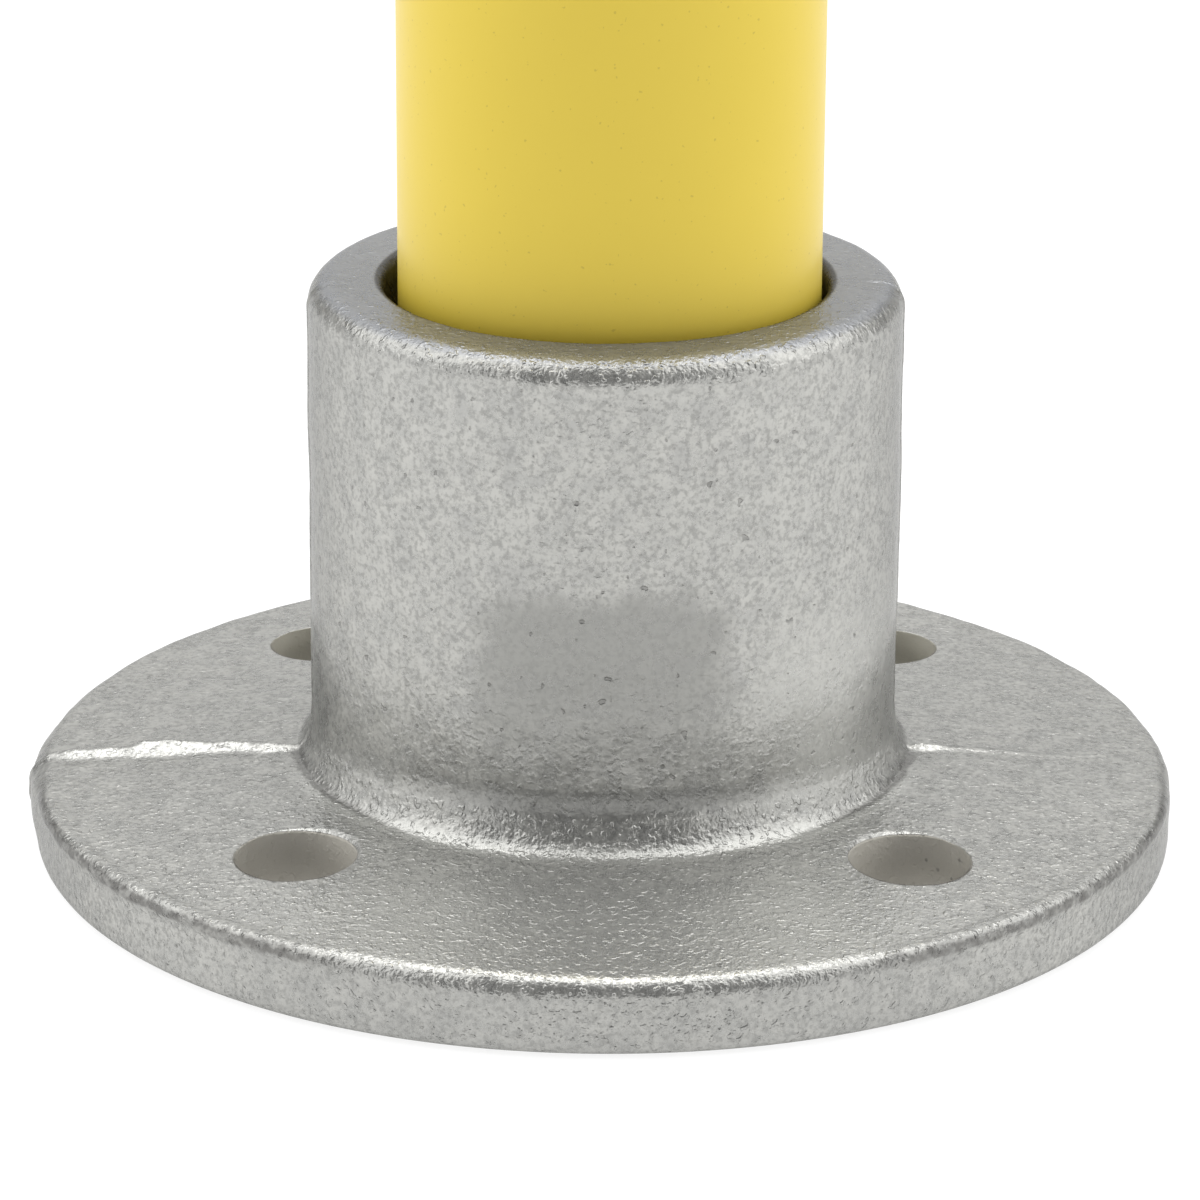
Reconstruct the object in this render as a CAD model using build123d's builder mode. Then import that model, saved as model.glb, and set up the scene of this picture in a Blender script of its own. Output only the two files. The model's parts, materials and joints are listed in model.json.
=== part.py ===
"""Stanchion base: a cast flange with a clamping socket, the tube it holds, and two set screws.

Millimetres, +Z up. The origin is the centre of the underside of the flange. The set screws
are in the +Y side of the socket, one above the other, and push the tube against the -Y side.
"""

from build123d import *
from math import radians, tan
import os

os.makedirs("parts", exist_ok=True)

# Flange of the casting: its top falls away from the socket to the edge
flange_diameter = 133.0
flange_edge_thickness = 8.7
flange_top_slope = 3.4  # degrees
flange_top_rounding = 2.2
flange_foot_rounding = 1.4
bolt_hole_diameter = 13.5
bolt_circle_diameter = 97.0
bolt_hole_rounding = 0.6

# Socket of the casting
socket_diameter = 68.0
socket_height = 67.2  # above the underside
socket_bore = 50.6
socket_root_fillet = 4.0
rim_outer_rounding = 2.9
rim_lip_rounding = 1.4
bore_foot_chamfer = 1.2

# Tube: 48.3 mm outside, the size of 1 1/2 inch nominal pipe
tube_diameter = 48.3
tube_wall = 3.2
tube_foot = 1.0  # height of its lower end above the deck
tube_top = 150.0
tube_end_rounding = 0.4
tube_shift = (0.45, -0.75)  # the screws hold it hard over in its bore

# Set screws: 3/8 inch pipe thread
screw_diameter = 16.66
screw_length = 11.0
screw_heights = {"lower_set_screw": 26.0, "upper_set_screw": 49.0}
screw_tip_gap = 0.3
screw_tip_chamfer = 1.6
screw_end_chamfer = 0.8
screw_cup_diameter = 9.0
screw_cup_depth = 1.4
hex_key_size = 8.0  # across flats
hex_socket_depth = 6.0
tapped_hole_diameter = 16.84
tapped_hole_chamfer = 0.6

# Worked out from the sizes above
flange_radius = flange_diameter / 2
socket_radius = socket_diameter / 2
bore_radius = socket_bore / 2
bolt_hole_radius = bolt_hole_diameter / 2
tapped_hole_radius = tapped_hole_diameter / 2
flange_root_thickness = flange_edge_thickness + (flange_radius - socket_radius) * tan(
    radians(flange_top_slope)
)
screw_tip_y = tube_shift[1] + tube_diameter / 2 + screw_tip_gap
screw_end_y = screw_tip_y + screw_length


# ---- Base casting ----

casting_corners = {
    "bore_foot": (bore_radius, 0),
    "flange_foot": (flange_radius, 0),
    "flange_edge": (flange_radius, flange_edge_thickness),
    "socket_root": (socket_radius, flange_root_thickness),
    "rim": (socket_radius, socket_height),
    "lip": (bore_radius, socket_height),
}
corner_roundings = {
    "flange_foot": flange_foot_rounding,
    "flange_edge": flange_top_rounding,
    "socket_root": socket_root_fillet,
    "rim": rim_outer_rounding,
    "lip": rim_lip_rounding,
}


def is_wall_of(radius):
    """A test for the cylindrical faces of this radius."""
    return lambda face: face.geom_type == GeomType.CYLINDER and abs(face.radius - radius) < 0.01


with BuildPart() as base_casting:
    # Flange, socket and bore are one turned shape, with every corner rounded
    with BuildSketch(Plane.XZ) as half_section:
        with BuildLine():
            Polyline(*casting_corners.values(), close=True)
        make_face()
        for corner, rounding in corner_roundings.items():
            x, z = casting_corners[corner]
            fillet(vertices().sort_by_distance((x, z))[0], radius=rounding)
        chamfer(vertices().sort_by_distance(casting_corners["bore_foot"])[0], length=bore_foot_chamfer)
    revolve(axis=Axis.Z)

    # Four bolt holes with slightly rounded edges
    with BuildSketch():
        with PolarLocations(bolt_circle_diameter / 2, 4, start_angle=45):
            Circle(bolt_hole_radius)
    extrude(amount=flange_root_thickness, mode=Mode.SUBTRACT)
    bolt_hole_edges = faces().filter_by(is_wall_of(bolt_hole_radius)).edges()
    fillet(bolt_hole_edges.filter_by(GeomType.LINE, reverse=True), radius=bolt_hole_rounding)

    # Two tapped holes through the rear wall, chamfered outside
    with BuildSketch(Plane.XZ.offset(-socket_radius)):
        for height in screw_heights.values():
            with Locations((0, height)):
                Circle(tapped_hole_radius)
    extrude(amount=socket_radius, mode=Mode.SUBTRACT)
    tapped_hole_edges = faces().filter_by(is_wall_of(tapped_hole_radius)).edges()
    mid_wall_y = (bore_radius + socket_radius) / 2
    outer_edges = tapped_hole_edges.filter_by(GeomType.LINE, reverse=True).filter_by(
        lambda edge: edge.center().Y > mid_wall_y
    )
    chamfer(outer_edges, length=tapped_hole_chamfer)

base_casting.part.label = "base_casting"
export_step(base_casting.part, "parts/base_casting.step")


# ---- Tube ----

with BuildPart() as stanchion_tube:
    with BuildSketch(Plane.XY.offset(tube_foot)):
        with Locations(tube_shift):
            Circle(tube_diameter / 2)
            Circle(tube_diameter / 2 - tube_wall, mode=Mode.SUBTRACT)
    extrude(amount=tube_top - tube_foot)
    fillet(edges().filter_by(GeomType.CIRCLE), radius=tube_end_rounding)

stanchion_tube.part.label = "stanchion_tube"
export_step(stanchion_tube.part, "parts/stanchion_tube.step")


# ---- Set screws ----


def make_set_screw(name, height):
    """A cup-point set screw along +Y, with its tip at the tube and its hex socket outside."""
    screw_radius = screw_diameter / 2
    cup_radius = screw_cup_diameter / 2
    with BuildPart() as screw:
        with BuildSketch(Plane.YZ):
            with Locations((screw_tip_y, height)):
                Polygon(
                    (screw_cup_depth, 0),
                    (screw_cup_depth, cup_radius - screw_cup_depth),
                    (0, cup_radius),
                    (0, screw_radius - screw_tip_chamfer),
                    (screw_tip_chamfer, screw_radius),
                    (screw_length - screw_end_chamfer, screw_radius),
                    (screw_length, screw_radius - screw_end_chamfer),
                    (screw_length, 0),
                    align=None,
                )
        revolve(axis=Axis((0, 0, height), (0, 1, 0)))
        with BuildSketch(Plane.XZ.offset(-screw_end_y)):
            with Locations((0, height)):
                RegularPolygon(hex_key_size / 2, 6, major_radius=False)
        extrude(amount=hex_socket_depth, mode=Mode.SUBTRACT)
    screw.part.label = name
    export_step(screw.part, f"parts/{name}.step")


for screw_name, screw_height in screw_heights.items():
    make_set_screw(screw_name, screw_height)
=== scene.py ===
"""Looks of the stanchion base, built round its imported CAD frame.

A hot-dip galvanised casting with a round flange and a tall socket, a yellow powder-coated
tube standing in it, and two zinc-plated set screws in the back of the socket. Shapes are
worked out in millimetres and written to Blender in metres. +Z is up and -Y is the front.
"""

import json
import math

import bpy
import numpy as np
from mathutils import Matrix, Vector, noise


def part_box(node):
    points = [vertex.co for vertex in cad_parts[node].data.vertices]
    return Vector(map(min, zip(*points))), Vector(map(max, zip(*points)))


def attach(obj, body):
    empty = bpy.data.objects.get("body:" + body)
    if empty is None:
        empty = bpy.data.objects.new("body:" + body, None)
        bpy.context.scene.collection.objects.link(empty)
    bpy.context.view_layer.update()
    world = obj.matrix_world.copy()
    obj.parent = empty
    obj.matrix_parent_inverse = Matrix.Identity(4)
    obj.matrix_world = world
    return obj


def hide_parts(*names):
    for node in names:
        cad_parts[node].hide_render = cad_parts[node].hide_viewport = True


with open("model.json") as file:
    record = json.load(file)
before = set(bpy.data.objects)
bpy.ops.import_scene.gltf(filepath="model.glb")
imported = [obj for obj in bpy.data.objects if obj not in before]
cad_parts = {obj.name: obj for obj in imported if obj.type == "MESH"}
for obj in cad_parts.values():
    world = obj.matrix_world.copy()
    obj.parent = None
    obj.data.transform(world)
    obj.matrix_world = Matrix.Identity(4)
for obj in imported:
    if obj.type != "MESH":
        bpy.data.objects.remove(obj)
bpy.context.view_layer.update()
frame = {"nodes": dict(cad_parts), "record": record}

MM = 0.001


# ---- Sizes from the frame, in mm ----


def box_mm(node):
    """Lowest and highest corner of a CAD node."""
    low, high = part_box(node)
    return np.array(low) / MM, np.array(high) / MM


mounts = {mount["name"]: mount for mount in frame["record"]["mounts"]}
casting_mesh = frame["nodes"]["base_casting"].data
casting_points = np.array([vertex.co for vertex in casting_mesh.vertices]) / MM
casting_radii = np.hypot(casting_points[:, 0], casting_points[:, 1])
casting_high = box_mm("base_casting")[1]
flange_radius = casting_high[0]
socket_top = casting_high[2]
socket_radius = casting_radii[casting_points[:, 2] > socket_top / 2].max()
bore_radius = casting_radii.min()
bolt_circle_radius = mounts["bolt_holes"]["dims"]["pcd_mm"] / 2
bolt_hole_radius = mounts["bolt_holes"]["dims"]["hole_r_mm"]
tube_low, tube_high = box_mm("stanchion_tube")
tube_axis = (tube_low + tube_high)[:2] / 2
tube_radius = (tube_high - tube_low)[0] / 2
tube_bore_radius = mounts["tube_bore"]["dims"]["r_mm"]

# What the frame does not say: the flange's taper and the roundings of the casting
flange_edge_thickness = 8.7
flange_top_slope = math.tan(math.radians(3.4))
flange_root_thickness = flange_edge_thickness + flange_top_slope * (flange_radius - socket_radius)
flange_foot_rounding = 1.4
flange_top_rounding = 2.2
root_fillet_height = 7.0
root_fillet_width_in_front = 3.8
root_fillet_width_at_sides = 2.3
root_fillet_blend = 12.0  # over this much more radius the flange takes up the narrowed fillet
rim_rounding = 2.9
lip_rounding = 1.4
bore_foot_rounding = 1.2
bolt_hole_flare = 0.09
tapped_hole_clearance = 0.09
tapped_hole_chamfer = 0.7
left_edge_bulge = 0.8

# Set screws and tube end, as far as the frame does not say
thread_pitch = 1.337
thread_depth = 0.75
hex_key_apothem = 4.0
hex_socket_depth = 6.0
drill_tip_depth = 1.6
cup_point_radius = 4.5
cup_point_depth = 1.4
coat_rounding = 0.5
tube_inner_rounding = 0.4
weld_bead_height = 0.35
weld_bead_angle = math.radians(155)
weld_bead_half_angle = math.radians(3.2)

# How finely the pieces are meshed
casting_columns = 448
tube_columns = 192
screw_columns = 120
thread_row_spacing = 0.09


# ---- Shape helpers ----


def smoothstep(low, high, value):
    """0 below low, 1 above high, and smooth between; low may be above high."""
    t = np.clip((value - low) / (high - low), 0, 1)
    return t * t * (3 - 2 * t)


def bumps(points, size, seed):
    """Smooth noise from about -1 to 1 that changes over about this size in mm."""
    offset = Vector((7.3, 3.1, 5.7)) * seed
    return np.array([noise.noise(Vector(point) / size + offset) for point in points])


def rounded_outline(corners):
    """Closed outline of (radius, height) points through rounded corners.

    Each corner is (radius, height, rounding, spacing of points up to the next corner).
    """
    outline = []
    count = len(corners)
    for index, (x, z, rounding, spacing) in enumerate(corners):
        here = np.array([x, z])
        before = np.array(corners[index - 1][:2]) - here
        after = np.array(corners[(index + 1) % count][:2]) - here
        before /= np.linalg.norm(before)
        after /= np.linalg.norm(after)
        half_angle = math.acos(before @ after) / 2
        setback = rounding / math.tan(half_angle)
        middle = (before + after) / np.linalg.norm(before + after)
        centre = here + middle * rounding / math.sin(half_angle)
        start = here + before * setback - centre
        end = here + after * setback - centre
        turn = math.atan2(start[0] * end[1] - start[1] * end[0], start @ end)
        steps = max(3, math.ceil(abs(turn) * rounding / 0.42))
        for step in range(steps + 1):
            angle = turn * step / steps
            cos, sin = math.cos(angle), math.sin(angle)
            outline.append(centre + (cos * start[0] - sin * start[1], sin * start[0] + cos * start[1]))
        outline.append(("run", spacing))
    return spaced(outline)


def spaced(outline):
    """Fills each marked run of an outline with evenly spaced points."""
    points = []
    for index, item in enumerate(outline):
        if not isinstance(item, tuple):
            points.append(item)
            continue
        start = outline[index - 1]
        end = outline[(index + 1) % len(outline)]
        steps = max(1, round(np.linalg.norm(end - start) / item[1]))
        points += [start + (end - start) * step / steps for step in range(1, steps)]
    return np.array(points)


def grid_normals(grid):
    """Unit normals of a grid of points that closes on itself along its columns and rows."""
    along = np.roll(grid, -1, axis=1) - np.roll(grid, 1, axis=1)
    across = np.roll(grid, -1, axis=0) - np.roll(grid, 1, axis=0)
    normals = np.cross(along, across)
    return normals / np.linalg.norm(normals, axis=2, keepdims=True)


def new_mesh(name, points, faces, calm_and_shade=True):
    """A mesh object from points in mm."""
    mesh = bpy.data.meshes.new(name)
    mesh.from_pydata((np.asarray(points) * MM).tolist(), [], faces)
    mesh.validate()
    if calm_and_shade:
        mesh.shade_smooth()
    piece = bpy.data.objects.new(name, mesh)
    bpy.context.scene.collection.objects.link(piece)
    return piece


def ring_mesh(name, rings, closed):
    """A mesh from rings of points; the last ring joins the first if closed, else both are capped."""
    row_count, column_count = rings.shape[:2]
    faces = []
    for row in range(row_count if closed else row_count - 1):
        here = row * column_count
        above = (row + 1) % row_count * column_count
        for column in range(column_count):
            beside = (column + 1) % column_count
            faces.append((here + column, here + beside, above + beside, above + column))
    if not closed:
        faces.append(tuple(reversed(range(column_count))))
        faces.append(tuple(range((row_count - 1) * column_count, row_count * column_count)))
    return new_mesh(name, rings.reshape(-1, 3), faces)


def cut(piece, cutters):
    """Takes the cutters out of the piece and removes them."""
    for cutter in cutters:
        modifier = piece.modifiers.new("cut", "BOOLEAN")
        modifier.operation = "DIFFERENCE"
        modifier.solver = "MANIFOLD"
        modifier.object = cutter
    graph = bpy.context.evaluated_depsgraph_get()
    result = bpy.data.meshes.new_from_object(piece.evaluated_get(graph))
    piece.modifiers.clear()
    piece.data = result
    result.shade_smooth()
    for cutter in cutters:
        bpy.data.objects.remove(cutter)


# ---- Materials ----


class Nodes:
    """Short ways to add shader nodes to one tree."""

    def __init__(self, tree):
        self.tree = tree
        tree.nodes.clear()

    def add(self, kind, inputs=None, **settings):
        """Adds a node; an input may be a value or another node's output socket."""
        made = self.tree.nodes.new(kind)
        for key, value in settings.items():
            setattr(made, key, value)
        for key, value in (inputs or {}).items():
            socket = made.inputs[key]
            if isinstance(value, bpy.types.NodeSocket):
                self.tree.links.new(value, socket)
            else:
                socket.default_value = value
        return made

    def noise(self, where, size, detail=2.0, roughness=0.5, distortion=0.0):
        """Noise that changes over about this size in mm, from 0 to 1."""
        inputs = {"Vector": where, "Scale": 1 / (size * MM), "Detail": detail, "Roughness": roughness}
        inputs["Distortion"] = distortion
        return self.add("ShaderNodeTexNoise", inputs).outputs["Fac"]

    def math(self, operation, first, second=0.0, third=0.0):
        """Result of one sum on values or output sockets."""
        made = self.add("ShaderNodeMath", {0: first, 1: second, 2: third}, operation=operation)
        return made.outputs[0]

    def product(self, first, *others):
        """All of these multiplied together."""
        for other in others:
            first = self.math("MULTIPLY", first, other)
        return first

    def distance(self, across, along):
        """Length of the vector with these two components."""
        squares = self.math("MULTIPLY_ADD", across, across, self.product(along, along))
        return self.math("SQRT", squares)

    def ramp(self, value, low, high, to_low=0.0, to_high=1.0):
        """Value mapped smoothly from low..high to to_low..to_high."""
        inputs = {"Value": value, "From Min": low, "From Max": high, "To Min": to_low, "To Max": to_high}
        made = self.add("ShaderNodeMapRange", inputs, interpolation_type="SMOOTHSTEP")
        return made.outputs["Result"]

    def blend(self, factor, first, second):
        """Colour between first and second."""
        made = self.add("ShaderNodeMix", {"Factor": factor}, data_type="RGBA")
        for socket, colour in ((made.inputs[6], first), (made.inputs[7], second)):
            if isinstance(colour, bpy.types.NodeSocket):
                self.tree.links.new(colour, socket)
            else:
                socket.default_value = (*colour, 1.0)
        return made.outputs[2]

    def bump(self, height, depth, normal=None):
        """Normal of a height from 0 to 1 that stands for a depth in mm."""
        inputs = {"Height": height, "Distance": depth * MM, "Strength": 1.0}
        if normal is not None:
            inputs["Normal"] = normal
        return self.add("ShaderNodeBump", inputs).outputs["Normal"]


def new_material(name):
    """An empty material with the coordinates of the piece, and its node helper."""
    material = bpy.data.materials.new(name)
    material.use_nodes = True
    nodes = Nodes(material.node_tree)
    where = nodes.add("ShaderNodeTexCoord").outputs["Object"]
    return material, nodes, where


def finish_material(nodes, **inputs):
    """Adds the shader with these inputs and the output."""
    names = {name.replace("_", " "): value for name, value in inputs.items()}
    shader = nodes.add("ShaderNodeBsdfPrincipled", names)
    nodes.add("ShaderNodeOutputMaterial", {"Surface": shader.outputs[0]})


def galvanised_iron():
    """Cast iron under a satin, mottled zinc skin; its grain is coarse where faces meet."""
    material, nodes, where = new_material("galvanised_iron")
    place = nodes.add("ShaderNodeSeparateXYZ", {"Vector": where})
    radius = nodes.distance(place.outputs["X"], place.outputs["Y"])
    cloud = nodes.noise(where, 14, 3)
    mottle = nodes.noise(where, 2.6, 4, 0.6)
    speckle = nodes.noise(where, 0.62, 3, 0.65)
    grain = nodes.noise(where, 1.4, 2, 0.5)
    sand = nodes.noise(where, 0.65, 2, 0.6)
    grains = nodes.ramp(nodes.noise(where, 0.8, 1), 0.56, 0.70)
    pits = nodes.ramp(nodes.noise(where, 1.2, 1, 0.4), 0.73, 0.79)
    calm_and_shade = calm_shaded_patch(nodes, where, place)
    in_hole = inside_bolt_hole(nodes, place)
    off_middle = nodes.math("ABSOLUTE", place.outputs["X"])
    edge_shade_mask = nodes.product(
        nodes.ramp(radius, (flange_radius - 1.2) * MM, (flange_radius - 0.4) * MM),
        nodes.ramp(off_middle, 52 * MM, 30 * MM, 0.15, 1.0),
    )
    on_wall = nodes.product(
        nodes.ramp(radius, (socket_radius + 0.5) * MM, (socket_radius + 0.1) * MM),
        nodes.ramp(place.outputs["Z"], (socket_top - 2) * MM, (socket_top - 4) * MM),
    )
    shade_lines = nodes.math(
        "MAXIMUM", edge_shade_line(nodes, where, place, radius), root_crease_shade(nodes, where, place, radius)
    )

    pale = nodes.blend(cloud, (0.53, 0.53, 0.505), (0.58, 0.575, 0.545))
    spotted = nodes.blend(nodes.ramp(mottle, 0.35, 0.65), (0.47, 0.47, 0.45), pale)
    speckled = nodes.blend(nodes.ramp(speckle, 0.34, 0.58, 0.54, 0.0), spotted, (0.24, 0.24, 0.23))
    # Painted light: paler zinc in the front of the root fillet, on the flange's front and low on the
    # right of the socket.
    light_painted = nodes.blend(painted_light_amount(nodes, place, radius), speckled, (0.62, 0.62, 0.59))
    # Painted shade on the flange's outer edge, strongest near its front and back.
    edge_shaded = nodes.blend(nodes.product(edge_shade_mask, 0.28), light_painted, (0.31, 0.31, 0.30))
    # Painted shade: a darker patch on the lower front of the socket, where its grain is also calmer.
    patch_shaded = nodes.blend(nodes.product(calm_and_shade, 0.70), edge_shaded, (0.30, 0.30, 0.285))
    # Painted shade: a dark band across the front of the socket just above the root fillet.
    root_band_shaded = nodes.blend(painted_shade_above_root(nodes, place, radius), patch_shaded, (0.17, 0.17, 0.165))
    # Painted reflection: a cool grey-blue tint over the top of the rim.
    rim_tint_mask = nodes.ramp(place.outputs["Z"], (socket_top - 1.0) * MM, (socket_top - 0.2) * MM, 0, 0.75)
    rim_reflection_tinted = nodes.blend(rim_tint_mask, root_band_shaded, (0.37, 0.385, 0.42))
    # Painted shade: the bore is darkened, most at its lip.
    in_bore = nodes.ramp(radius, (bore_radius + 1.25) * MM, (bore_radius + 0.85) * MM)
    at_lip = nodes.ramp(place.outputs["Z"], (socket_top - 9) * MM, (socket_top - 3) * MM, 0.55, 1.0)
    bore_lip_shaded = nodes.blend(nodes.product(in_bore, at_lip), rim_reflection_tinted, (0.13, 0.13, 0.13))
    # The bolt holes' brownish walls, with painted shade in them.
    holes_coloured_and_shaded = nodes.blend(in_hole, bore_lip_shaded, hole_wall_colour_and_shade(nodes, place))
    # Painted shade: dark ragged lines under the flange's top edge and along the root's crease.
    shade_lined = nodes.blend(shade_lines, holes_coloured_and_shaded, (0.12, 0.115, 0.11))
    colour = nodes.blend(nodes.product(pits, 0.45), shade_lined, (0.16, 0.155, 0.15))
    roughness = nodes.math("MULTIPLY_ADD", mottle, 0.16, 0.20)
    roughness = nodes.math("MULTIPLY_ADD", in_hole, 0.45, roughness)

    grit = nodes.product(
        nodes.ramp(place.outputs["Y"], 0.0, -(socket_radius + 6) * MM, 0.5, 1.0),
        nodes.ramp(on_wall, 0, 1, 1, 0.28),
        nodes.ramp(calm_and_shade, 0, 1, 1, 0.6),
        nodes.ramp(in_hole, 0, 1, 1, 0.6),
    )
    normal = nodes.bump(nodes.product(grain, grit), 0.10)
    normal = nodes.bump(nodes.product(sand, grit), 0.16, normal)
    normal = nodes.bump(nodes.product(grains, grit), 0.08, normal)
    normal = nodes.bump(pits, -0.06, normal)
    finish_material(
        nodes,
        Base_Color=colour,
        Metallic=0.66,
        Roughness=roughness,
        Normal=normal,
        Specular_Tint=(0.4, 0.4, 0.4, 1),
    )
    return material


def painted_light_amount(nodes, place, radius):
    """How much painted light pales the zinc: in the root fillet, on the flange's front, low on the
    socket.
    """
    in_root = nodes.product(
        nodes.ramp(radius, (socket_radius + 1.3) * MM, (socket_radius + 2.1) * MM),
        nodes.ramp(radius, (socket_radius + 4.5) * MM, (socket_radius + 3.5) * MM),
        nodes.ramp(place.outputs["Y"], -6 * MM, -18 * MM, 0, 0.8),
    )
    on_flange = nodes.product(
        nodes.ramp(place.outputs["Y"], -34 * MM, -52 * MM, 0, 0.55),
        nodes.ramp(nodes.math("ABSOLUTE", place.outputs["X"]), 48 * MM, 20 * MM),
        nodes.ramp(radius, flange_radius * MM, (flange_radius - 2) * MM),
    )
    on_socket = nodes.product(
        nodes.ramp(place.outputs["X"], 13 * MM, 22 * MM, 0, 0.5),
        nodes.ramp(place.outputs["Z"], 40 * MM, 26 * MM),
        nodes.ramp(radius, (socket_radius + 1) * MM, (socket_radius + 0.4) * MM),
    )
    return nodes.math("MAXIMUM", nodes.math("MAXIMUM", in_root, on_flange), on_socket)


def painted_shade_above_root(nodes, place, radius):
    """Strength of the painted shade where the front of the socket begins to turn out into the flange."""
    fillet_top = flange_root_thickness + root_fillet_height
    return nodes.product(
        nodes.ramp(place.outputs["Z"], (fillet_top + 0.3) * MM, (fillet_top - 0.8) * MM),
        nodes.ramp(place.outputs["Z"], (fillet_top - 3.6) * MM, (fillet_top - 2.2) * MM),
        nodes.ramp(nodes.math("ABSOLUTE", place.outputs["X"]), 25 * MM, 10 * MM, 0, 0.45),
        nodes.ramp(radius, (bore_radius + 2) * MM, (bore_radius + 3) * MM),
        nodes.ramp(place.outputs["Y"], -10 * MM, -16 * MM),
    )


def edge_shade_line(nodes, where, place, radius):
    """Strength of the painted shade in the dark, ragged line under the flange's top edge, left and right
    of its front.
    """
    wander = nodes.math("MULTIPLY_ADD", nodes.noise(where, 3, 4, 0.7), 1.6 * MM, -0.8 * MM)
    height = nodes.math("ADD", place.outputs["Z"], wander)
    return nodes.product(
        nodes.ramp(height, (flange_edge_thickness - 1.7) * MM, (flange_edge_thickness - 1.1) * MM),
        nodes.ramp(height, (flange_edge_thickness + 0.2) * MM, (flange_edge_thickness - 0.4) * MM),
        nodes.ramp(nodes.math("ABSOLUTE", place.outputs["X"]), 24 * MM, 36 * MM),
        nodes.ramp(radius, (flange_radius - 1.2) * MM, (flange_radius - 0.6) * MM),
        nodes.ramp(place.outputs["Y"], -6 * MM, -16 * MM),
        nodes.ramp(nodes.noise(where, 1.2, 2), 0.35, 0.6, 0.35, 0.7),
    )


def root_crease_shade(nodes, where, place, radius):
    """Strength of the painted shade in the dark, ragged crease at the foot of the socket, left and right
    of its front.
    """
    wander = nodes.math("MULTIPLY_ADD", nodes.noise(where, 2.5, 4, 0.7), 2.0 * MM, -1.0 * MM)
    middle = nodes.math("SUBTRACT", nodes.math("ADD", radius, wander), (socket_radius + 2.1) * MM)
    return nodes.product(
        nodes.ramp(nodes.math("ABSOLUTE", middle), 0.8 * MM, 0.2 * MM, 0, 0.55),
        nodes.ramp(nodes.math("ABSOLUTE", place.outputs["X"]), 23 * MM, 29 * MM),
        nodes.ramp(place.outputs["Z"], 13 * MM, 12 * MM),
        nodes.ramp(place.outputs["Y"], -1 * MM, -6 * MM),
    )


def calm_shaded_patch(nodes, where, place):
    """How calm the zinc is in the patch on the lower front of the socket, and how strongly painted shade
    darkens it there; 0 outside it.
    """
    wander = nodes.math("MULTIPLY_ADD", nodes.noise(where, 5, 5, 0.6), 2.0, -1.0)
    across = nodes.math("DIVIDE", place.outputs["X"], 14 * MM)
    up = nodes.math("DIVIDE", nodes.math("SUBTRACT", place.outputs["Z"], 27.5 * MM), 13 * MM)
    reach = nodes.math("ADD", nodes.math("POWER", across, 4), nodes.math("POWER", up, 4))
    return nodes.product(
        nodes.ramp(nodes.math("ADD", reach, wander), 1.65, 0.45),
        nodes.ramp(place.outputs["Z"], 14 * MM, 32 * MM, 0.2, 1.0),
        nodes.ramp(place.outputs["Y"], -20 * MM, -24 * MM),
    )


def inside_bolt_hole(nodes, place):
    """1 on the walls of the four bolt holes, and 0 outside them."""
    offset = bolt_circle_radius / math.sqrt(2) * MM
    sideways = nodes.math("SUBTRACT", nodes.math("ABSOLUTE", place.outputs["X"]), offset)
    forwards = nodes.math("SUBTRACT", nodes.math("ABSOLUTE", place.outputs["Y"]), offset)
    distance = nodes.distance(sideways, forwards)
    return nodes.ramp(distance, (bolt_hole_radius + 0.25) * MM, (bolt_hole_radius + 0.15) * MM)


def hole_wall_colour_and_shade(nodes, place):
    """Colour of the bolt holes' walls: brownish, with painted shade on the walls that face the back and
    on the rear holes.
    """
    offset = bolt_circle_radius / math.sqrt(2) * MM
    side = nodes.math("SIGN", place.outputs["Y"])
    from_centre = nodes.math("SUBTRACT", place.outputs["Y"], nodes.product(side, offset))
    rear_hole = nodes.ramp(place.outputs["Y"], -10 * MM, 10 * MM)
    facing_front = nodes.blend(rear_hole, (0.53, 0.51, 0.46), (0.42, 0.405, 0.35))
    return nodes.blend(nodes.ramp(from_centre, -3 * MM, 2 * MM), (0.20, 0.19, 0.17), facing_front)


def yellow_powder_coat():
    """Even satin yellow powder coat with a faint orange peel and tiny specks."""
    material, nodes, where = new_material("yellow_powder_coat")
    cloud = nodes.noise(where, 20, 2)
    peel = nodes.noise(where, 1.5, 1)
    specks = nodes.ramp(nodes.noise(where, 0.6, 1), 0.72, 0.78)
    yellow = nodes.blend(cloud, (0.825, 0.625, 0.076), (0.855, 0.65, 0.084))
    colour = nodes.blend(specks, yellow, (0.70, 0.52, 0.07))
    roughness = nodes.math("MULTIPLY_ADD", cloud, 0.08, 0.32)
    normal = nodes.bump(peel, 0.012)
    finish_material(nodes, Base_Color=colour, Roughness=roughness, Normal=normal, IOR=1.36)
    return material


def bare_zinc():
    """Thin dull zinc inside the tube and on its cut ends."""
    material, nodes, where = new_material("bare_zinc")
    mottle = nodes.noise(where, 4, 4, 0.6)
    colour = nodes.blend(mottle, (0.36, 0.36, 0.35), (0.50, 0.50, 0.49))
    roughness = nodes.math("MULTIPLY_ADD", mottle, 0.2, 0.35)
    normal = nodes.bump(nodes.noise(where, 0.8, 3), 0.03)
    finish_material(nodes, Base_Color=colour, Metallic=1.0, Roughness=roughness, Normal=normal)
    return material


def zinc_plated_steel():
    """Bright zinc plating of the set screws, a little worn and dulled."""
    material, nodes, where = new_material("zinc_plated_steel")
    mottle = nodes.noise(where, 2.5, 4, 0.6)
    colour = nodes.blend(mottle, (0.50, 0.51, 0.52), (0.66, 0.67, 0.67))
    roughness = nodes.math("MULTIPLY_ADD", mottle, 0.25, 0.18)
    normal = nodes.bump(nodes.noise(where, 0.5, 2), 0.01)
    finish_material(nodes, Base_Color=colour, Metallic=1.0, Roughness=roughness, Normal=normal)
    return material


# ---- Base casting ----

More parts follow.
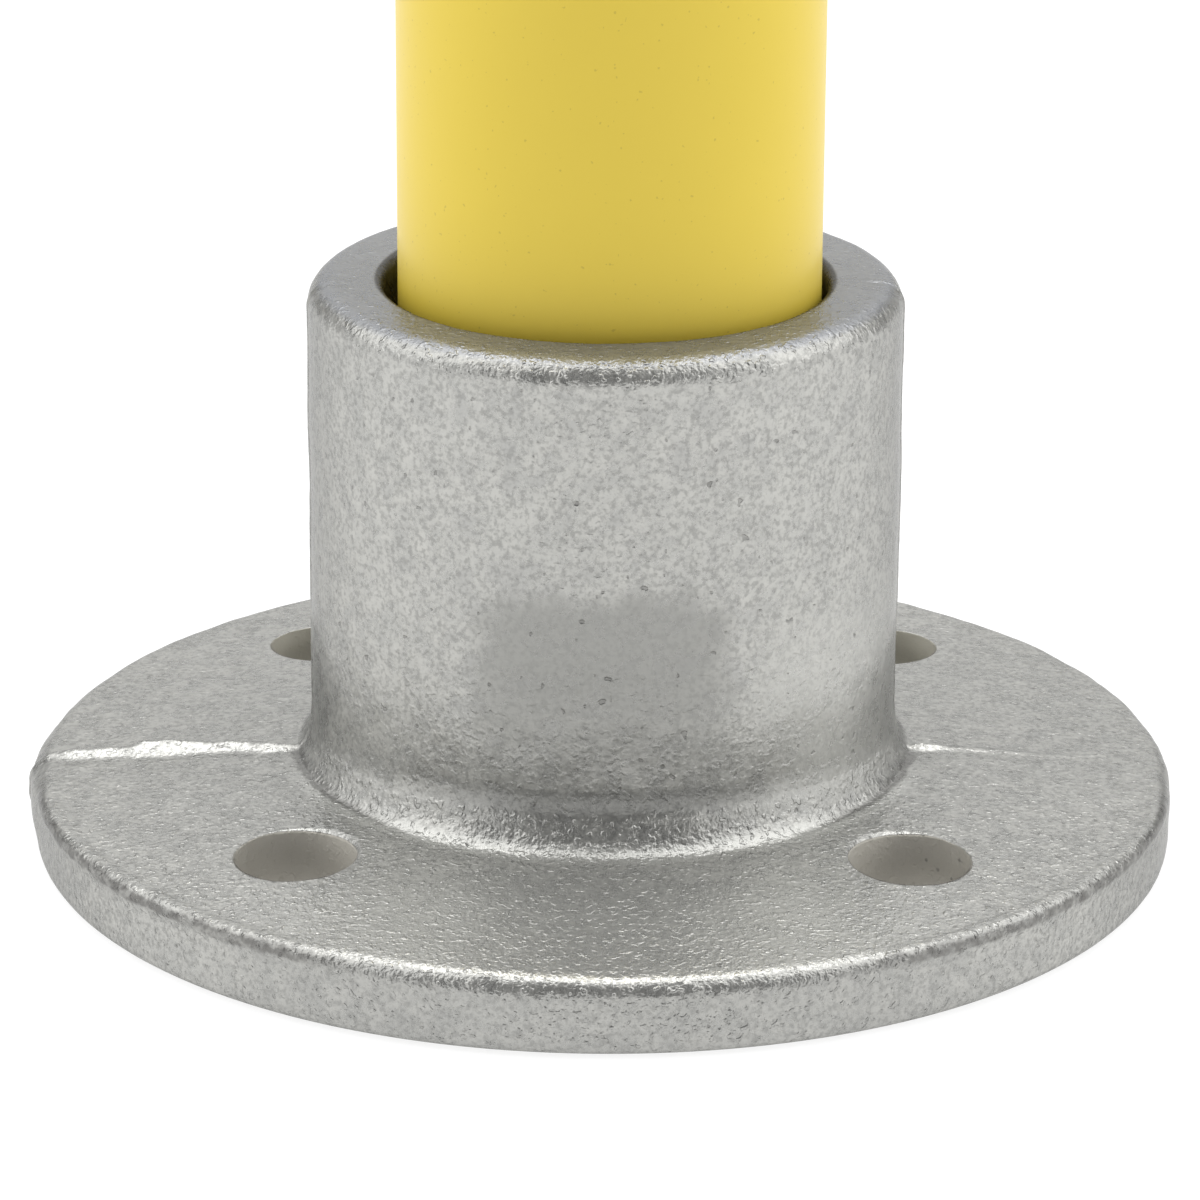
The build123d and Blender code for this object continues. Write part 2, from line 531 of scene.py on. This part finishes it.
casting_outline = rounded_outline(
    [
        (bore_radius, 0, bore_foot_rounding, 4.0),
        (flange_radius, 0, flange_foot_rounding, 0.62),
        (flange_radius, flange_edge_thickness, flange_top_rounding, 0.66),
        (socket_radius, flange_root_thickness, root_fillet_height, 0.72),
        (socket_radius, socket_top, rim_rounding, 0.6),
        (bore_radius, socket_top, lip_rounding, 3.0),
    ]
)


def casting_angles(count):
    """Angles round the casting, closer together at the parting line on its -X and +X sides."""
    even = np.linspace(0, 2 * math.pi, 4000)
    off_line = np.abs((even + math.pi / 2) % math.pi - math.pi / 2)
    density = 1 + 1.3 * np.exp(-((off_line / math.radians(5)) ** 2))
    share = np.concatenate([[0], np.cumsum((density[1:] + density[:-1]) / 2)])
    return np.interp(np.arange(count) / count, share / share[-1], even)


def parting_ridge(points):
    """Height in mm of the flash that the two halves of the mould left along the XZ plane."""
    x, y, z = points.T
    radius = np.hypot(x, y)
    ragged = 1 + 0.22 * bumps(points, 2.2, 21) + 0.15 * bumps(points, 0.8, 22)
    left = np.interp(
        x,
        [-66, -63, -55.5, -54.3, -50, -48, -45, -39, -36, -35],
        [0.3, 0.75, 0.75, 1.2, 1.2, 0.95, 0.8, 0.8, 0.35, 0.25],
    )
    right = np.interp(
        x,
        [35, 36, 37, 39.5, 41, 46, 48, 52, 56],
        [0.1, 0.3, 0.6, 0.5, 0.28, 0.22, 0.12, 0.15, 0],
    )
    height = np.where(x < 0, left, right)
    on_socket = smoothstep(socket_radius + 1.5, socket_radius, radius)
    height = height * (1 - on_socket) + 0.15 * on_socket
    left_crest = np.interp(
        x,
        [-66, -55.5, -54, -50, -45, -39, -35],
        [-2, -2.2, -1.4, -1.4, -2.0, -3.0, -3.0],
    )
    crest = np.where(x < 0, left_crest, -1.9) + 0.25 * bumps(points * (1, 0, 0), 5, 23)
    front = np.clip(1 + (y - crest) / (1.9 * height + 0.1), 0, 1)
    back = smoothstep(1.2, 0.1, y - crest)
    outside = radius > (bore_radius + socket_radius) / 2
    return np.where(outside & (z > 1), height * ragged * front * back, 0)


def sharper_edge(points):
    """Stand-off in mm that sharpens the flange's top edge to the left and right of its front."""
    x, y, z = points.T
    outward = np.hypot(x, y) - (flange_radius - flange_top_rounding)
    upward = z - (flange_edge_thickness - flange_top_rounding)
    turn = np.arctan2(np.maximum(upward, 0), np.maximum(outward, 1e-6))
    beside = smoothstep(26, 36, np.abs(x)) * smoothstep(-8, -20, y)
    return np.where((outward > 0) & (upward > 0), 0.75 * np.sin(2 * turn) ** 2 * beside, 0)


def casting_relief(points):
    """How far the rough cast skin stands off the true shape, in mm."""
    x, y, z = points.T
    radius = np.hypot(x, y)
    waves = 0.15 * bumps(points, 24, 1) + 0.08 * bumps(points, 10, 2)
    lumps = 0.05 * bumps(points, 4.5, 3) + 0.035 * bumps(points, 2.2, 4)
    edge = smoothstep(flange_radius - 4, flange_radius, radius)
    scallops = edge * (0.12 * bumps(points, 7, 5) + 0.06 * bumps(points, 2.6, 6))
    bulge = left_edge_bulge * smoothstep(flange_radius - 2, flange_radius, -x)
    bulge = bulge * smoothstep(1, 4, z) * smoothstep(8.4, 6, z)
    above_deck = smoothstep(0.1, 1.5, z)
    in_bore = smoothstep(bore_radius + 2, bore_radius, radius)
    return (waves + lumps + scallops + bulge) * above_deck * (1 - 0.6 * in_bore)


def root_fillet_pull(radii, heights, angles):
    """How far the skin moves in, which makes the root fillet narrower than tall, most at the sides."""
    foot = socket_radius + root_fillet_height
    share = np.interp(radii, [socket_radius, foot, foot + root_fillet_blend], [0, 1, 0])
    share = np.where(heights > flange_edge_thickness / 2, share[:, None], 0)
    at_sides = smoothstep(0.45, 0.85, np.abs(np.cos(angles)))
    width = root_fillet_width_in_front * (1 - at_sides) + root_fillet_width_at_sides * at_sides
    return share * (root_fillet_height - width)


def make_casting():
    """The casting: its outline turned round the axis, roughened along its normals, then drilled."""
    angles = casting_angles(casting_columns)
    radii, heights = casting_outline.T
    heights = np.repeat(heights[:, None], len(angles), axis=1)
    pull = root_fillet_pull(radii, heights, angles)
    reach = radii[:, None] - pull
    grid = np.empty((len(radii), len(angles), 3))
    grid[..., 0] = reach * np.cos(angles)
    grid[..., 1] = reach * np.sin(angles)
    grid[..., 2] = heights + pull * flange_top_slope
    flat = grid.reshape(-1, 3)
    relief = casting_relief(flat) + parting_ridge(flat) + sharper_edge(flat)
    grid = grid + grid_normals(grid) * relief.reshape(grid.shape[:2])[..., None]
    piece = ring_mesh("base_casting_skin", grid, closed=True)
    cut(piece, [bolt_hole_cutter(quarter) for quarter in range(4)])
    cut(piece, [tapped_hole_cutter(node) for node in ("upper_set_screw", "lower_set_screw")])
    piece.data.materials.clear()
    piece.data.materials.append(galvanised_iron())
    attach(piece, "casting")
    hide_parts("base_casting")


def bolt_hole_cutter(quarter):
    """Cutter of one bolt hole, a little out of round and flared at both ends."""
    turn = math.radians(45 + 90 * quarter)
    centre = bolt_circle_radius * np.array([math.cos(turn), math.sin(turn)])
    flange_top = flange_edge_thickness + flange_top_slope * (flange_radius - bolt_circle_radius)
    flare = bolt_hole_flare
    beyond = 1.5
    lower = [-beyond, 0, flare]
    upper = [flange_top - flare, flange_top, flange_top + beyond]
    heights = np.array([*lower, flange_top / 2, *upper])
    flares = np.array([flare + beyond, flare, 0, 0, 0, flare, flare + beyond])
    return round_cutter(centre, heights, bolt_hole_radius + flares, seed=31 + quarter)


def round_cutter(centre, heights, radii, seed):
    """A closed solid of revolution about a vertical axis, slightly uneven."""
    angles = np.linspace(0, 2 * math.pi, 72, endpoint=False)
    rings = np.empty((len(heights), len(angles), 3))
    ring_points = np.stack([np.cos(angles), np.sin(angles), 0 * angles], axis=1)
    uneven = 0.10 * bumps(ring_points, 0.8, seed)
    rings[..., 0] = centre[0] + (radii[:, None] + uneven) * np.cos(angles)
    rings[..., 1] = centre[1] + (radii[:, None] + uneven) * np.sin(angles)
    rings[..., 2] = heights[:, None]
    return ring_mesh("cutter", rings, closed=False)


def tapped_hole_cutter(node):
    """Cutter of the hole that one set screw stands in, chamfered outside."""
    low, high = box_mm(node)
    radius = (high - low)[0] / 2 + tapped_hole_clearance
    chamfer = tapped_hole_chamfer
    distances = np.array([bore_radius - 6, socket_radius - chamfer, socket_radius + 1, socket_radius + 4])
    radii = radius + np.array([0, 0, chamfer + 1, chamfer + 4])
    angles = np.linspace(0, 2 * math.pi, 96, endpoint=False)
    rings = np.empty((len(distances), len(angles), 3))
    rings[..., 0] = np.outer(radii, np.sin(angles))
    rings[..., 1] = distances[:, None]
    rings[..., 2] = (low + high)[2] / 2 + np.outer(radii, np.cos(angles))
    return ring_mesh("cutter", rings, closed=False)


# ---- Tube ----


def make_tube():
    """The tube: coated outside, bare zinc inside with the weld's bead, and a deburred cut end."""
    outline = rounded_outline(
        [
            (tube_bore_radius, tube_low[2], tube_inner_rounding, 3.0),
            (tube_radius, tube_low[2], coat_rounding, 3.0),
            (tube_radius, tube_high[2], coat_rounding, 0.8),
            (tube_bore_radius, tube_high[2], tube_inner_rounding, 3.0),
        ]
    )
    angles = np.linspace(0, 2 * math.pi, tube_columns, endpoint=False)
    radii, heights = outline.T
    wall_middle = (tube_bore_radius + tube_radius) / 2
    weld = weld_bead_height * np.exp(-(((angles - weld_bead_angle) / weld_bead_half_angle) ** 2))
    inner = (radii < wall_middle)[:, None]
    rings = np.empty((len(radii), len(angles), 3))
    reach = radii[:, None] - inner * weld
    rings[..., 0] = tube_axis[0] + reach * np.cos(angles)
    rings[..., 1] = tube_axis[1] + reach * np.sin(angles)
    rings[..., 2] = heights[:, None]
    piece = ring_mesh("tube_skin", rings, closed=True)
    piece.data.materials.append(yellow_powder_coat())
    piece.data.materials.append(bare_zinc())
    for polygon in piece.data.polygons:
        middle = np.array(polygon.center)[:2] / MM - tube_axis
        polygon.material_index = int(np.hypot(*middle) < tube_radius - 0.9)
    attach(piece, "tube")
    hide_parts("stanchion_tube")


# ---- Set screws ----


def make_set_screw(node, body):
    """A threaded plug with a hex socket outside and a cup point at the tube."""
    low, high = box_mm(node)
    radius = (high - low)[0] / 2
    height = (low + high)[2] / 2
    tip, end = low[1], high[1]
    angles = np.linspace(0, 2 * math.pi, screw_columns, endpoint=False)
    sector = math.radians(60)
    hexagon = hex_key_apothem / np.cos((angles + sector / 2) % sector - sector / 2)
    end_face_radius = radius - 0.9
    tip_face_radius = radius - 1.7

    # Each row is a distance along Y and the reach at every angle, from the bottom of the hex
    # socket out over the end face, along the thread and into the cup at the tip
    rows = []
    for share in (0, 0.5, 1):
        depth = hex_socket_depth + drill_tip_depth * (1 - share)
        rows.append((end - depth, hexagon * max(share, 0.02)))
    rows += [(end - depth, hexagon) for depth in (hex_socket_depth - 0.05, 4.0, 2.0, 0.5)]
    rows += [(end - 0.15, hexagon + 0.1), (end, hexagon + 0.45)]
    rows += [(end, hexagon * (1 - t) + end_face_radius * t) for t in (0.4, 0.7, 1.0)]
    steps = round((end - tip) / thread_row_spacing)
    for step in range(steps + 1):
        y = end - (end - tip) * step / steps
        phase = (y / thread_pitch + angles / (2 * math.pi)) % 1
        crest = np.abs(phase - 0.5) * 2
        thread = radius - thread_depth * (1 - np.clip(crest * 1.3 - 0.12, 0, 1))
        chamfer = min(end_face_radius + (end - y), tip_face_radius + (y - tip))
        rows.append((y, np.minimum(thread, chamfer)))
    rows.append((tip, np.full_like(angles, cup_point_radius + 0.7)))
    rows.append((tip + 0.1, np.full_like(angles, cup_point_radius + 0.1)))
    for turn in (0.4, 0.8, 1.2, 1.54):
        cup_reach = cup_point_radius * math.cos(turn)
        rows.append((tip + cup_point_depth * math.sin(turn), np.full_like(angles, cup_reach)))
    rings = np.empty((len(rows), len(angles), 3))
    for ring, (y, reach) in zip(rings, rows):
        ring[:, 0] = reach * np.sin(angles)
        ring[:, 1] = y
        ring[:, 2] = height + reach * np.cos(angles)
    piece = ring_mesh(node + "_body", rings, closed=False)
    piece.data.materials.append(zinc_plated_steel())
    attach(piece, body)
    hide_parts(node)


# ---- Stage: floor, light and camera ----


def make_floor():
    """A wide pale floor just under the flange."""
    radius = 2500.0
    angles = np.linspace(0, 2 * math.pi, 64, endpoint=False)
    points = np.stack([radius * np.cos(angles), radius * np.sin(angles), 0 * angles - 0.05], axis=1)
    floor = new_mesh("floor", points, [tuple(range(64))], calm_and_shade=False)
    material, nodes, _ = new_material("pale_floor")
    inputs = {"Base Color": (0.28, 0.28, 0.28, 1), "Roughness": 0.9}
    inputs.update({"Emission Color": (1, 1, 1, 1), "Emission Strength": 0.80})
    shader = nodes.add("ShaderNodeBsdfPrincipled", inputs)
    nodes.add("ShaderNodeOutputMaterial", {"Surface": shader.outputs[0]})
    floor.data.materials.append(material)


def make_world():
    """White to the camera; in light and reflections a bright ceiling, pale walls and a dark front."""
    world = bpy.data.worlds.new("studio")
    bpy.context.scene.world = world
    world.use_nodes = True
    nodes = Nodes(world.node_tree)
    direction = nodes.add("ShaderNodeTexCoord").outputs["Generated"]

    def towards(aim, inner, outer):
        """1 within the inner angle of a direction, 0 beyond the outer one."""
        unit = Vector(aim).normalized()
        dot = nodes.add("ShaderNodeVectorMath", {0: direction, 1: unit}, operation="DOT_PRODUCT")
        limits = math.cos(math.radians(outer)), math.cos(math.radians(inner))
        return nodes.ramp(dot.outputs["Value"], *limits)

    walls = 1.0
    front = nodes.product(towards((0, -1, 0.6), 32, 46), 0.9)
    light = nodes.math("SUBTRACT", walls, front)
    light = nodes.math("MULTIPLY_ADD", towards((0, 0.25, 1), 12, 22), 2.9, light)
    for side in (-1, 1):
        light = nodes.math("MULTIPLY_ADD", towards((side, 0.1, 1.1), 22, 36), 0.9, light)
        light = nodes.math("MULTIPLY_ADD", towards((0.62 * side, 0.7, 0.2), 12, 24), -0.8, light)
    sees = nodes.add("ShaderNodeLightPath").outputs["Is Camera Ray"]
    strength = nodes.add("ShaderNodeMix", {0: sees, 2: light, 3: 1.0}, data_type="FLOAT").outputs[0]
    background = nodes.add("ShaderNodeBackground", {"Color": (1, 1, 1, 1), "Strength": strength})
    nodes.add("ShaderNodeOutputWorld", {"Surface": background.outputs[0]})


def make_camera():
    """A long lens in front, looking down on the socket by about 20 degrees."""
    target = Vector((-0.461, 0, 27.92)) * MM
    distance = 612.84 * MM
    elevation = math.radians(19.78)
    roll = math.radians(0.311)
    data = bpy.data.cameras.new("camera")
    data.sensor_width = 36.0
    data.lens = 157.76
    data.clip_start = 0.01
    camera = bpy.data.objects.new("camera", data)
    bpy.context.scene.collection.objects.link(camera)
    camera.location = target + distance * Vector((0, -math.cos(elevation), math.sin(elevation)))
    tilt = Matrix.Rotation(math.pi / 2 - elevation, 3, "X")
    camera.rotation_euler = (tilt @ Matrix.Rotation(roll, 3, "Z")).to_euler()
    bpy.context.scene.camera = camera


bpy.context.scene.view_settings.view_transform = "Standard"
make_camera()
make_world()
make_floor()
make_casting()
make_tube()
make_set_screw("upper_set_screw", "upper_screw")
make_set_screw("lower_set_screw", "lower_screw")
